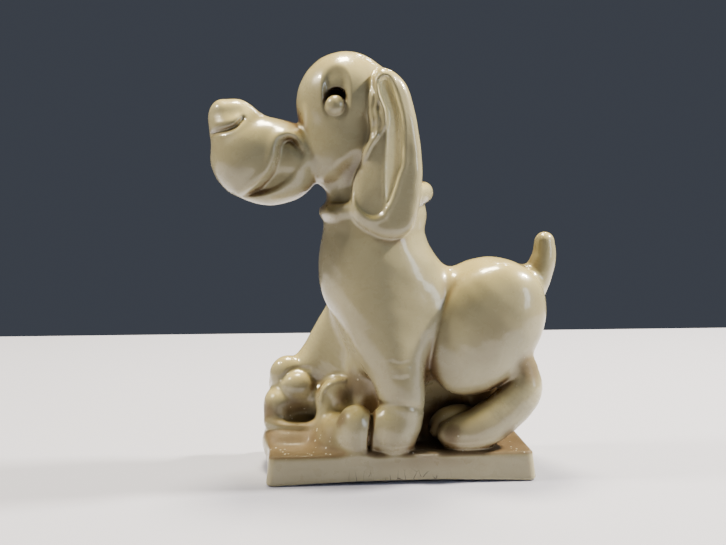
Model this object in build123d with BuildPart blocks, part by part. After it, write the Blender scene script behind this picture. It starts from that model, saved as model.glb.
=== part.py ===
from build123d import *
from copy import deepcopy
import os

# A ceramic dog figurine: a cartoon hound sitting on a plinth, one forepaw raised in front of it.
# Millimetres. X runs from the snout (-X) to the tail (+X), +Y is the dog's right side, +Z is up.
# The origin is at the middle of the plinth's underside.

# Driving dimensions.
PLINTH_LENGTH = 132.0
PLINTH_DEPTH = 60.0
PLINTH_HEIGHT = 14.5
PLINTH_DRAFT = 1.6          # how far each side leans in over the height
PLINTH_CORNER = 3.5         # radius of the upright corners
PLINTH_EDGE = 1.4           # radius around the top
PLINTH_WALL = 5.0
FOOT_STRIP = 9.0            # width at each end of the flat ring that the plinth stands on
SEAM_TURN = (17.0, 31.0, 23.0)     # keeps an egg's seam and poles clear of its neighbours
SIDE_SEAM_TURN = (90.0, 45.0, 0.0)
WALL = 4.0                  # wall of the hollow body
HEAD_WALL = 7.0             # deeper at the head, where the eye sockets are sunk

HEAD_CENTRE = (-25.5, 0.0, 183.0)
HEAD_RADII = (24.4, 22.5, 25.6)
CHEEK_CENTRE = (-23.0, 0.0, 163.0)
CHEEK_RADII = (27.0, 20.5, 24.0)
EYE_CENTRE = (-31.5, 18.3, 181.0)
EYE_RADIUS = 5.0
SOCKET_CENTRE = (-31.4, 23.2, 186.0)
SOCKET_RADII = (6.6, 5.2, 13.6)

MUZZLE_CENTRE = (-71.5, 0.0, 157.0)
MUZZLE_RADII = (20.6, 19.5, 20.5)
MUZZLE_LEAN = 20.0
SNOUT_VOID = ((-72.0, 0.0, 157.0), (13.0, 12.5, 13.5))
BRIDGE_CENTRE = (-57.0, 0.0, 157.5)
BRIDGE_RADII = (21.0, 17.5, 17.0)
NOSE_CENTRE = (-83.0, 0.0, 174.5)
NOSE_RADII = (9.6, 11.0, 10.5)
JAW_CENTRE = (-59.5, 0.0, 146.0)
JAW_RADII = (20.0, 14.5, 12.0)
JAW_LEAN = -12.0

COLLAR_CENTRE = (-10.2, 0.0, 135.8)
COLLAR_RADIUS = 23.2
COLLAR_ROLL = 5.4           # radius of the roll itself
COLLAR_SQUEEZE = 0.84       # narrower across the neck than along it
COLLAR_LEAN = -10.3         # the throat side hangs lower

EAR_TOP = 198.4
EAR_FOOT = 118.4
EAR_OUTLINE = [             # X, and the share of the drop that it lies above the foot
    (-15.0, 0.80),
    (-9.5, 1.00),
    (2.0, 0.91),
    (7.8, 0.62),
    (9.6, 0.33),
    (5.0, 0.06),
    (-8.5, 0.00),
    (-23.5, 0.12),
    (-25.0, 0.35),
    (-14.2, 0.60),
]
EAR_OUTER_Y = 26.8
EAR_THICKNESS = 18.8        # reaches inwards to the neck and the back of the head
EAR_EDGE = 3.6
EAR_DISH_LOW = ((-10.5, -28.8, 148.0), (11.5, 5.6, 22.0))
EAR_DISH_HIGH = ((-5.8, -28.8, 172.0), (6.4, 5.6, 22.0))

RUMP_CENTRE = (46.0, 0.0, 76.5)
RUMP_RADII = (25.5, 23.0, 32.0)
THIGH_CENTRE = (43.2, -14.5, 71.5)
THIGH_RADII = (25.0, 15.0, 36.0)
HAUNCH_LEAN = 36.0          # rump and thighs lean back by this much from upright

# Sections of the trunk and neck, from the belly up: height, middle X, half length, half width.
TORSO_SECTIONS = [
    (50.0, -2.0, 20.0, 17.0),
    (62.0, -1.0, 24.5, 21.0),
    (76.0, -3.0, 28.5, 23.5),
    (90.0, -6.0, 32.0, 24.5),
    (103.0, -8.5, 31.0, 24.5),
    (116.0, -11.5, 26.5, 23.5),
    (132.0, -11.0, 23.0, 21.5),
]
NECK_SECTIONS = [
    (128.0, -10.8, 23.2, 20.0),
    (142.0, -11.5, 23.5, 19.0),
    (158.0, -11.5, 22.5, 18.0),
    (174.0, -12.0, 20.5, 16.5),
    (188.0, -13.5, 17.5, 14.0),
    (198.0, -15.5, 9.0, 8.0),
]
WEB_SECTIONS = [
    (13.0, 15.0, 43.0, 10.0),
    (34.0, 15.0, 43.0, 11.5),
    (58.0, 14.0, 38.0, 12.0),
]

# Limbs: middle X, Y and Z of each section, then half length and half width across it.
FORELEG_LEFT = [
    (-10.0, -13.0, 84.0, 17.0, 10.0),
    (-7.2, -16.0, 70.0, 15.4, 10.5),
    (-2.4, -18.0, 55.0, 12.9, 10.5),
    (0.4, -18.6, 40.0, 11.6, 10.2),
    (0.2, -18.6, 28.0, 10.6, 9.6),
]
FORELEG_RIGHT = [
    (-14.0, 13.0, 78.0, 20.0, 11.0),
    (-25.0, 15.5, 64.0, 17.5, 12.0),
    (-37.0, 16.5, 52.0, 13.0, 11.5),
    (-48.0, 16.5, 44.0, 10.0, 9.8),
]
HIND_FOOT = [
    (24.5, -20.0, 21.5, 6.6, 6.2),
    (31.0, -20.0, 22.0, 9.2, 8.8),
    (41.0, -19.5, 25.0, 10.6, 9.6),
    (52.0, -18.5, 32.5, 10.6, 9.4),
    (61.0, -17.5, 42.0, 9.6, 8.6),
    (62.5, -16.0, 55.0, 8.0, 7.5),
]
TAIL = [
    (65.5, 0.0, 88.0, 9.6, 9.0),
    (71.5, 0.0, 97.0, 7.6, 7.2),
    (75.2, 0.0, 107.0, 6.2, 6.0),
    (75.4, 0.0, 114.5, 4.9, 4.8),
]
TAIL_TIP_CENTRE = (75.4, 0.0, 114.9)
TAIL_TIP_RADIUS = 5.0

# Toes, the raised paw and what it rests on: centre and radii.
TOE_LEFT_OUTER = ((-2.5, -19.3, 25.6), (12.1, 10.6, 12.2))
TOE_LEFT_INNER = ((-22.3, -18.6, 25.4), (8.3, 10.2, 12.0))
PAW_RIGHT = ((-52.0, 16.0, 42.0), (11.5, 10.5, 12.0))
TOE_RIGHT_NEAR = ((-49.5, 7.6, 39.5), (10.4, 6.6, 8.2))
TOE_RIGHT_MIDDLE = ((-56.5, 13.8, 45.6), (10.2, 7.2, 9.8))
TOE_RIGHT_FAR = ((-60.6, 21.0, 38.5), (8.2, 6.6, 11.5))
HIND_TOE = ((27.5, -10.5, 24.6), (12.5, 7.5, 9.0))
HIND_TOE_LEAN = -18.0
MOUND = ((-51.5, 11.0, 13.0), (16.8, 17.0, 8.4))
MOUND_LUMP = ((-64.2, 8.0, 25.6), (4.9, 6.2, 10.4))
KNOB = ((-31.7, 3.0, 30.5), (8.6, 8.5, 14.6))


def mirrored(centre, side):
    """A centre given for the dog's right side, put on the side asked for."""
    return (centre[0], side * centre[1], centre[2])


def egg(centre, radii, lean=0.0, turn=SEAM_TURN):
    """An ellipsoid at a centre, leaned about Y, with its seam and poles turned off the axes."""
    with BuildPart() as form:
        Sphere(1.0, rotation=turn)
        scale(by=radii)
    return Location(centre, (0.0, lean, 0.0)) * form.part


def trunk(sections, wall=0.0):
    """Level elliptical sections lofted upwards, or the hollow inside them."""
    lift = [wall] + [0.0] * (len(sections) - 2) + [-wall]
    with BuildPart() as form:
        for (height, middle, length, width), shift in zip(sections, lift):
            with BuildSketch(Plane.XY.offset(height + shift)):
                with Locations((middle, 0.0)):
                    Ellipse(length - wall, width - wall)
        loft()
    return form.part


def limb(sections):
    """Elliptical sections lofted along a bending limb, each square to the way the limb runs."""
    points = [Vector(x, y, z) for x, y, z, _, _ in sections]
    with BuildPart() as form:
        for index, (_, _, _, length, width) in enumerate(sections):
            before = points[max(index - 1, 0)]
            after = points[min(index + 1, len(points) - 1)]
            run = after - before
            across = Vector(0.0, 1.0, 0.0).cross(run)
            with BuildSketch(Plane(origin=points[index], x_dir=across, z_dir=run)):
                Ellipse(length, width)
        loft()
    return form.part


def ear_leaf():
    """The left ear before it is dished: a thick hanging leaf with a rolled edge."""
    drop = EAR_TOP - EAR_FOOT
    with BuildPart() as form:
        with BuildSketch(Plane.XZ.offset(EAR_OUTER_Y)):
            with BuildLine():
                Spline(*[(x, EAR_FOOT + share * drop) for x, share in EAR_OUTLINE], periodic=True)
            make_face()
        extrude(amount=-EAR_THICKNESS)
        fillet(form.faces().sort_by(Axis.Y)[0].edges(), EAR_EDGE)
    return form.part


def grown(radii, amount):
    """Radii that are all larger by an amount, or smaller by a negative one."""
    return tuple(radius + amount for radius in radii)


def carve(*forms):
    """Cuts the piece being built back by solid forms, one after another."""
    for form in forms:
        add(deepcopy(form), mode=Mode.SUBTRACT, clean=False)


def finish(piece, name):
    """Labels a piece and writes it."""
    piece.part.label = name
    export_step(piece.part, f"parts/{name}.step")


os.makedirs("parts", exist_ok=True)

# Solid forms, which the pieces are made from and cut back by.
with BuildPart() as plinth_form:
    with BuildSketch(Plane.XY):
        RectangleRounded(PLINTH_LENGTH, PLINTH_DEPTH, PLINTH_CORNER)
    with BuildSketch(Plane.XY.offset(PLINTH_HEIGHT)):
        RectangleRounded(
            PLINTH_LENGTH - 2 * PLINTH_DRAFT, PLINTH_DEPTH - 2 * PLINTH_DRAFT, PLINTH_CORNER
        )
    loft()
    fillet(plinth_form.faces().sort_by(Axis.Z)[-1].edges(), PLINTH_EDGE)

rump_form = egg(RUMP_CENTRE, RUMP_RADII, HAUNCH_LEAN)
rump_void = egg(RUMP_CENTRE, grown(RUMP_RADII, -WALL), HAUNCH_LEAN)
rump_guard = egg(RUMP_CENTRE, grown(RUMP_RADII, WALL), HAUNCH_LEAN)
torso_form = trunk(TORSO_SECTIONS)
torso_hollow = trunk(TORSO_SECTIONS, WALL)
neck_form = trunk(NECK_SECTIONS)
web_form = trunk(WEB_SECTIONS)
cranium = egg(HEAD_CENTRE, HEAD_RADII)
cheeks = egg(CHEEK_CENTRE, CHEEK_RADII)
snout = egg(MUZZLE_CENTRE, MUZZLE_RADII, MUZZLE_LEAN)
bridge = egg(BRIDGE_CENTRE, BRIDGE_RADII)
nose_form = egg(NOSE_CENTRE, NOSE_RADII)
jaw_form = egg(JAW_CENTRE, JAW_RADII, JAW_LEAN)
sockets = [egg(mirrored(SOCKET_CENTRE, side), SOCKET_RADII) for side in (-1.0, 1.0)]
cranium_void = egg(HEAD_CENTRE, grown(HEAD_RADII, -HEAD_WALL))
cheek_void = egg(CHEEK_CENTRE, grown(CHEEK_RADII, -HEAD_WALL))
snout_void = egg(SNOUT_VOID[0], SNOUT_VOID[1], MUZZLE_LEAN)
tail_form = limb(TAIL)
foreleg_left_form = limb(FORELEG_LEFT)
foreleg_right_form = limb(FORELEG_RIGHT)
thigh_form = egg(THIGH_CENTRE, THIGH_RADII, HAUNCH_LEAN)
hind_foot_form = limb(HIND_FOOT)
hind_toe_form = egg(*HIND_TOE, HIND_TOE_LEAN)
ear_form = ear_leaf()
ear_dish_low = egg(*EAR_DISH_LOW)
ear_dish_high = egg(*EAR_DISH_HIGH)

with BuildPart() as collar_ring:
    Torus(COLLAR_RADIUS, COLLAR_ROLL)
    scale(by=(1.0, COLLAR_SQUEEZE, 1.0))
collar_form = Location(COLLAR_CENTRE, (0.0, COLLAR_LEAN, 0.0)) * collar_ring.part

# The plinth: a block with an open underside, standing on a flat ring.
with BuildPart() as plinth:
    add(deepcopy(plinth_form.part), clean=False)
    with BuildSketch(Plane.XY):
        RectangleRounded(
            PLINTH_LENGTH - 2 * FOOT_STRIP, PLINTH_DEPTH - 2 * PLINTH_WALL - 2 * PLINTH_DRAFT, PLINTH_CORNER
        )
    extrude(amount=PLINTH_HEIGHT - PLINTH_WALL, mode=Mode.SUBTRACT)
finish(plinth, "plinth")

# The hollow body, from the rump forwards and up to the head.
with BuildPart() as rump:
    add(deepcopy(rump_form), clean=False)
    carve(rump_void)
finish(rump, "rump")

with BuildPart() as torso_void:
    add(deepcopy(torso_hollow), clean=False)
    carve(rump_guard)

with BuildPart() as torso:
    add(deepcopy(torso_form), clean=False)
    carve(rump_form, torso_void.part)
finish(torso, "torso")

with BuildPart() as head:
    add(deepcopy(cranium), clean=False)
    add(deepcopy(cheeks), clean=False)
    carve(cranium_void, cheek_void)
    carve(*sockets)
    for side in (-1.0, 1.0):
        with Locations(mirrored(EYE_CENTRE, side)):
            Sphere(EYE_RADIUS, mode=Mode.SUBTRACT)
finish(head, "head")

with BuildPart() as neck:
    add(deepcopy(neck_form), clean=False)
    carve(torso_form, cranium, cheeks)
finish(neck, "neck")

with BuildPart() as collar:
    add(deepcopy(collar_form), clean=False)
    carve(torso_form, neck_form, cheeks)
finish(collar, "collar")

# The muzzle, with the nose on its upper front and the lower jaw under it.
with BuildPart() as muzzle:
    add(deepcopy(snout), clean=False)
    add(deepcopy(bridge), clean=False)
    carve(cranium, cheeks, snout_void)
finish(muzzle, "muzzle")

with BuildPart() as nose:
    add(deepcopy(nose_form), clean=False)
    carve(snout, bridge)
finish(nose, "nose")

with BuildPart() as jaw:
    add(deepcopy(jaw_form), clean=False)
    carve(snout, bridge, cranium, cheeks, neck_form, collar_form)
finish(jaw, "jaw")

with BuildPart() as tail:
    add(deepcopy(tail_form), clean=False)
    with Locations(TAIL_TIP_CENTRE):
        Sphere(TAIL_TIP_RADIUS)
    carve(rump_form)
finish(tail, "tail")

# The left eye, ear, haunch and hind foot, and the same again mirrored to the right.
with BuildPart() as eye_left:
    with Locations(mirrored(EYE_CENTRE, -1.0)):
        Sphere(EYE_RADIUS)

with BuildPart() as ear_left:
    add(deepcopy(ear_form), clean=False)
    carve(ear_dish_low, ear_dish_high, cranium, cheeks, neck_form, torso_form, collar_form)

with BuildPart() as thigh_left:
    add(deepcopy(thigh_form), clean=False)
    carve(rump_form, torso_form)

with BuildPart() as hind_foot_left:
    add(deepcopy(hind_foot_form), clean=False)
    carve(plinth_form.part, rump_form, thigh_form)

with BuildPart() as hind_toe_left:
    add(deepcopy(hind_toe_form), clean=False)
    carve(hind_foot_form, plinth_form.part, thigh_form)

pairs = [
    (eye_left, "eye"),
    (ear_left, "ear"),
    (thigh_left, "thigh"),
    (hind_foot_left, "hind_foot"),
    (hind_toe_left, "hind_toe"),
]
for left, name in pairs:
    finish(left, f"{name}_left")
    with BuildPart() as right:
        add(deepcopy(left.part), clean=False)
        mirror(about=Plane.XZ, mode=Mode.REPLACE)
    finish(right, f"{name}_right")

# The straight left foreleg stands on two toes; the raised right one ends in a paw over a mound.
front_pieces = [
    ("toe_left_outer", egg(*TOE_LEFT_OUTER)),
    ("toe_left_inner", egg(*TOE_LEFT_INNER, turn=SIDE_SEAM_TURN)),
    ("foreleg_left", foreleg_left_form),
    ("toe_right_near", egg(*TOE_RIGHT_NEAR)),
    ("toe_right_middle", egg(*TOE_RIGHT_MIDDLE)),
    ("toe_right_far", egg(*TOE_RIGHT_FAR)),
    ("paw_right", egg(*PAW_RIGHT)),
    ("foreleg_right", foreleg_right_form),
    ("ground_knob", egg(*KNOB)),
    ("ground_mound", egg(*MOUND)),
    ("mound_lump", egg(*MOUND_LUMP, turn=SIDE_SEAM_TURN)),
]
before = [plinth_form.part, torso_form]
for name, form in front_pieces:
    with BuildPart() as piece:
        add(deepcopy(form), clean=False)
        carve(*before)
    before.append(form)
    finish(piece, name)

# The web of clay that closes the space between the legs, under the belly.
haunches = [thigh_form, hind_foot_form, hind_toe_form]
with BuildPart() as belly_web:
    add(deepcopy(web_form), clean=False)
    carve(rump_form, *before, *haunches)
    carve(*[mirror(form, about=Plane.XZ, mode=Mode.PRIVATE) for form in haunches])
finish(belly_web, "belly_web")
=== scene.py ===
import math

import bpy
import numpy as np
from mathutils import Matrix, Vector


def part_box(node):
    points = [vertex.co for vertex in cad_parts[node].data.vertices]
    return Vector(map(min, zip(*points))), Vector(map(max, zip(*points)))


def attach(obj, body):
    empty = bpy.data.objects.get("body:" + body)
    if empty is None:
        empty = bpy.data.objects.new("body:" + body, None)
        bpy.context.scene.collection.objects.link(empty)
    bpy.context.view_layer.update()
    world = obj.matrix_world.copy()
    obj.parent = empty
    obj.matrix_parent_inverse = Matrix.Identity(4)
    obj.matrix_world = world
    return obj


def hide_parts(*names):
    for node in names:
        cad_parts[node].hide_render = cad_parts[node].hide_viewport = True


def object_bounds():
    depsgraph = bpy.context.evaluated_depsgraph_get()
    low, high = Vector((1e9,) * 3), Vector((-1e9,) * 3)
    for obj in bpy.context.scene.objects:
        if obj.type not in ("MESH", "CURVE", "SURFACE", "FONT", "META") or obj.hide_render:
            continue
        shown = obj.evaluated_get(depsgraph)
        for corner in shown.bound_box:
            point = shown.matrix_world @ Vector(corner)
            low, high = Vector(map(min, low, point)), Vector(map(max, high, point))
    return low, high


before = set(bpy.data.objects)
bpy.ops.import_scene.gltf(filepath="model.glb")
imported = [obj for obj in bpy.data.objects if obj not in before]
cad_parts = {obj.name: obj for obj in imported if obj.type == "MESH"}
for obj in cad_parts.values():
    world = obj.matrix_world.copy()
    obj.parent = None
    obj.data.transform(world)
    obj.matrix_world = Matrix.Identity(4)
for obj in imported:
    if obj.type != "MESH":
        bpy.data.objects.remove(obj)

import openvdb

CAD_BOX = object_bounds()

# Shapes are worked out in millimetres in the row frame, and MM turns them into metres.
MM = 0.001
FINE_CELL = 0.72     # the grid that the clay is worked out on
CELL = FINE_CELL
FAR = 20.0           # the distance that stands for no clay near
MARGIN = 15.0        # how far outside its box a form may still round the clay
GRID_SPARE = 6.0     # how far the grid reaches past the CAD box
SHELL = 1.3          # thickness of the shell that each piece becomes
CRUMB = 260          # points in a patch too small to be a piece's own, on the fine grid
LEFT, RIGHT = -1, 1
SIDES = (("left", LEFT), ("right", RIGHT))


def box_mm(node):
    """A node's lowest and highest corner in millimetres."""
    lo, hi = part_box(node)
    return np.array(lo[:]) / MM, np.array(hi[:]) / MM


def at(node, dx=0.0, dy=0.0, dz=0.0):
    """A point given from the middle of a node's box, in millimetres."""
    lo, hi = box_mm(node)
    return (lo + hi) / 2 + np.array((dx, dy, dz))


def foot_of(node):
    """The lowest point of a node's box, on the figure's centre plane."""
    return at(node)[0], 0.0, box_mm(node)[0][2]


def placed(start, rows):
    """Rows of X, Y, Z and two sizes, moved to be given from a start point."""
    return [(start[0] + x, start[1] + y, start[2] + z, a, b) for x, y, z, a, b in rows]


def side_view(start, rows):
    """Rows of X and Z, moved to be given from a start point."""
    return [(start[0] + x, start[2] + z) for x, z in rows]


def smooth_step(t):
    t = np.clip(t, 0.0, 1.0)
    return t * t * (3.0 - 2.0 * t)


def soft_min(a, b, k):
    """The smaller of two distances, with the corner between them rounded over k."""
    h = np.maximum(k - np.abs(a - b), 0.0) / k
    return np.minimum(a, b) - h * h * k * 0.25


def soft_max(a, b, k):
    return -soft_min(-a, -b, k)


def flowing(points, spans=6, closed=False):
    """Points along a smooth curve through the given ones."""
    p = np.array(points, dtype=float)
    if closed:
        p = np.vstack([p[-1], p, p[0], p[1]])
    else:
        p = np.vstack([2 * p[0] - p[1], p, 2 * p[-1] - p[-2]])
    out = []
    for i in range(1, len(p) - 2):
        a, b, c, d = p[i - 1], p[i], p[i + 1], p[i + 2]
        for t in np.arange(spans) / spans:
            out.append(
                0.5 * (2 * b + (c - a) * t + (2 * a - 5 * b + 4 * c - d) * t * t
                       + (3 * b - 3 * c + d - a) * t * t * t)
            )
    if not closed:
        out.append(p[-2])
    return np.array(out)


# Distances: each function returns one that takes X, Y and Z in millimetres.


def egg(centre, radii, lean=0.0):
    """An ellipsoid, leaned about Y in degrees."""
    turn = math.radians(lean)
    c, s = math.cos(turn), math.sin(turn)
    rx, ry, rz = radii

    def distance(x, y, z):
        u, v, w = x - centre[0], y - centre[1], z - centre[2]
        u, w = u * c - w * s, u * s + w * c
        k0 = np.sqrt((u / rx) ** 2 + (v / ry) ** 2 + (w / rz) ** 2)
        k1 = np.sqrt((u / rx**2) ** 2 + (v / ry**2) ** 2 + (w / rz**2) ** 2)
        return k0 * (k0 - 1.0) / np.maximum(k1, 1e-5)

    return distance


TRUNK_END_ROUND = 5.0


def trunk(foot, sections):
    """Level elliptical sections, as height, middle, half length and half width from a foot point."""
    table = flowing(sections, 12)
    heights = table[:, 0] + foot[2]
    slopes = np.gradient(table, heights, axis=0)

    def distance(x, y, z):
        level = np.clip(z, heights[0], heights[-1])
        mid, a, b = (np.interp(level, heights, table[:, i]) for i in (1, 2, 3))
        dm, da, db = (np.interp(level, heights, slopes[:, i]) for i in (1, 2, 3))
        qx, qy = (x - foot[0] - mid) / a, (y - foot[1]) / b
        g = np.sqrt(qx * qx + qy * qy)
        gz = (qx * (dm + qx * da) / a) + qy * qy * db / b
        slope = np.sqrt((qx / a) ** 2 + (qy / b) ** 2 + gz * gz)
        side = (g - 1.0) * g / np.maximum(slope, 1e-5)
        return soft_max(side, np.maximum(z - heights[-1], heights[0] - z), TRUNK_END_ROUND)

    return distance


def limb(stations):
    """A bending limb through stations of X, Y, Z, half thickness seen from the side, and half width."""
    line = flowing(stations)

    def distance(x, y, z):
        best = None
        for a, b in zip(line[:-1], line[1:]):
            d = b - a
            run = max(d[0] ** 2 + d[2] ** 2, 1e-6)
            t = np.clip(((x - a[0]) * d[0] + (z - a[2]) * d[2]) / run, 0.0, 1.0)
            u, v, w = x - a[0] - d[0] * t, y - a[1] - d[1] * t, z - a[2] - d[2] * t
            thick, wide = a[3] + d[3] * t, a[4] + d[4] * t
            flat = u * u + w * w
            g = np.sqrt(flat / thick**2 + v * v / wide**2)
            slope = np.sqrt(flat / thick**4 + v * v / wide**4)
            near = (g - 1.0) * g / np.maximum(slope, 1e-5)
            best = near if best is None else np.minimum(best, near)
        return best

    return distance


def ring(centre, radius, roll, squeeze, lean):
    """A round roll bent into a ring, squeezed across Y and leaned about Y in degrees."""
    turn = math.radians(lean)
    c, s = math.cos(turn), math.sin(turn)

    def distance(x, y, z):
        u, v, w = x - centre[0], (y - centre[1]) / squeeze, z - centre[2]
        u, w = u * c - w * s, u * s + w * c
        return np.sqrt((np.sqrt(u * u + v * v) - radius) ** 2 + w * w) - roll

    return distance


def all_of(*distances, blend):
    """Several forms flowing into one another over blend."""

    def distance(x, y, z):
        total = distances[0](x, y, z)
        for other in distances[1:]:
            total = soft_min(total, other(x, y, z), blend)
        return total

    return distance


def path_distance(path, x, z):
    """How far points of the side view are from an open path."""
    best = None
    for a, b in zip(path[:-1], path[1:]):
        d = b - a
        t = np.clip(((x - a[0]) * d[0] + (z - a[1]) * d[1]) / max(d @ d, 1e-6), 0.0, 1.0)
        near = (x - a[0] - d[0] * t) ** 2 + (z - a[1] - d[1] * t) ** 2
        best = near if best is None else np.minimum(best, near)
    return np.sqrt(best)


def outline_distance(loop, x, z):
    """How far points of the side view are from a closed outline, negative inside it."""
    inside = np.zeros(np.broadcast(x, z).shape, dtype=bool)
    for a, b in zip(loop, np.roll(loop, -1, axis=0)):
        if a[1] == b[1]:
            continue
        crosses = (z >= min(a[1], b[1])) & (z < max(a[1], b[1]))
        inside ^= crosses & (x < a[0] + (z - a[1]) * (b[0] - a[0]) / (b[1] - a[1]))
    away = path_distance(np.vstack([loop, loop[:1]]), x, z)
    return np.where(inside, -away, away)


# The plinth: drafted sides, round corners and edges, a pocket beneath and a base that bows up.
PLINTH_DRAFT = 1.6
PLINTH_CORNER = 3.5
PLINTH_EDGE = 1.7
PLINTH_WALL = 5.0
PLINTH_BOW = 1.5
PLINTH_FEET = 6.0       # how far in from each end the bow starts


def plinth(x, y, z):
    lo, hi = box_mm("plinth")
    rise = hi[2] - lo[2]
    draft = PLINTH_DRAFT * np.clip((z - lo[2]) / rise, 0.0, 1.0)
    ex = np.abs(x) - (hi[0] - draft - PLINTH_CORNER)
    ey = np.abs(y) - (hi[1] - draft - PLINTH_CORNER)
    side = np.hypot(np.maximum(ex, 0), np.maximum(ey, 0)) + np.minimum(np.maximum(ex, ey), 0)
    side = side - PLINTH_CORNER
    sole = lo[2] + PLINTH_BOW * np.clip(1.0 - (x / (hi[0] - PLINTH_FEET)) ** 2, 0.0, 1.0)
    a, b = side + PLINTH_EDGE, np.maximum(z - hi[2], sole - z) + PLINTH_EDGE
    block = np.hypot(np.maximum(a, 0), np.maximum(b, 0)) + np.minimum(np.maximum(a, b), 0)
    px = np.abs(x) - (hi[0] - PLINTH_WALL)
    py = np.abs(y) - (hi[1] - PLINTH_WALL)
    pocket = soft_max(soft_max(px, py, 3.0), z - (hi[2] - PLINTH_WALL), 3.0)
    return soft_max(block - PLINTH_EDGE, -pocket, 1.0)


# The ear in side view: X from the middle of its box, and the share of its drop above its foot.
EAR_OUTLINE = [
    (-8.7, 0.80), (-2.4, 1.0), (10.3, 0.91), (16.1, 0.62), (17.9, 0.33),
    (13.3, 0.06), (-0.2, 0.0), (-15.2, 0.12), (-16.7, 0.35), (-7.9, 0.60),
]
EAR_HOLLOW = [
    (-3.4, 0.930), (1.2, 0.952), (4.2, 0.885), (6.3, 0.805), (7.7, 0.723), (8.4, 0.600), (8.3, 0.444),
    (6.6, 0.375), (4.4, 0.285), (2.1, 0.205), (-2.0, 0.132), (-6.6, 0.115), (-11.3, 0.145),
    (-14.6, 0.200), (-15.7, 0.280), (-14.9, 0.360), (-12.2, 0.430), (-9.2, 0.500), (-6.2, 0.565),
    (-2.4, 0.625), (-0.3, 0.680), (-0.6, 0.745), (-2.0, 0.794), (-3.5, 0.858),
]
EAR_FOLD = [
    (-4.5, 0.940), (-3.5, 0.858), (-1.8, 0.794), (-0.4, 0.747), (0.1, 0.675), (0.1, 0.593),
    (-0.4, 0.498), (-0.7, 0.414), (-0.7, 0.295), (-0.3, 0.220), (0.2, 0.130),
]
EAR_CHANNEL = 1.6       # how deep the channel behind the fold is
EAR_FLOOR = 1.5         # how far the whole hollow is sunk
EAR_RIM = 0.45          # how far the rim of the hollow stands up
EAR_CREST = 0.55        # how far the fold stands up


def ear_points(node, points):
    lo, hi = box_mm(node)
    middle = (lo[0] + hi[0]) / 2
    return [(middle + x, lo[2] + share * (hi[2] - lo[2])) for x, share in points]


def ear_lines(node):
    """The edge of an ear's hollow and the line of its fold."""
    hollow = flowing(ear_points(node, EAR_HOLLOW), 6, True)
    return hollow, flowing(ear_points(node, EAR_FOLD), 5)


def behind_fold(fold, x, z):
    """How far points of the side view are behind the fold."""
    return x - np.interp(z, fold[::-1, 1], fold[::-1, 0])


def ear(node, side):
    lo, hi = box_mm(node)
    inner, outer = sorted((abs(lo[1]), abs(hi[1])))
    loop = flowing(ear_points(node, EAR_OUTLINE), 9, True)
    hollow, fold = ear_lines(node)

    def distance(x, y, z):
        rim = outline_distance(loop, x, z)
        dish = outline_distance(hollow, x, z)
        share = (z - lo[2]) / (hi[2] - lo[2])
        past = behind_fold(fold, x, z)
        channel = EAR_CHANNEL * smooth_step(past / 7.5) * smooth_step((share - 0.13) / 0.12)
        floor = EAR_FLOOR + channel + 0.8 * smooth_step(-past / 9.0)
        crest = outer - 3.5 * smooth_step((share - 0.6) / 0.4)
        crest = crest - floor * smooth_step(-dish / 1.8)
        crest = crest + EAR_RIM * np.exp(-(((dish - 0.9) / 1.1) ** 2))
        along_fold = smooth_step((0.9 - np.abs(2.0 * share - 1.07)) / 0.1)
        crest = crest + EAR_CREST * np.exp(-((past / 0.8) ** 2)) * along_fold
        # In front of the fold, near the top, the glaze has run in streaks.
        strip = smooth_step((share - 0.56) / 0.06) * smooth_step((-0.6 - past) / 1.2)
        streaks = 0.55 * np.sin(z * 0.62) + 0.40 * np.sin(x * 2.4 + 0.9 * np.sin(z * 0.5))
        crest = crest + strip * (streaks - 0.7)
        slab = soft_max(rim, y * side - crest, 6.5)
        return soft_max(slab, inner - y * side, 2.0)

    return distance


# CLAY lists what is joined on, in order: its distance, the rounding where it joins, the box that it
# is worked out in, and whether it is taken away instead. OWNERS lists the forms that say which node
# a stretch of the skin belongs to.
CLAY = []
OWNERS = []


def own(node, distance, grow=0.0):
    lo, hi = box_mm(node)
    OWNERS.append((node, distance, lo - grow, hi + grow))


def add_form(node, distance, blend, grow=0.0):
    """Joins a form of a node on, where its box is grown on every side."""
    lo, hi = box_mm(node)
    CLAY.append((distance, blend, lo - grow, hi + grow, False))
    own(node, distance, grow)


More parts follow.
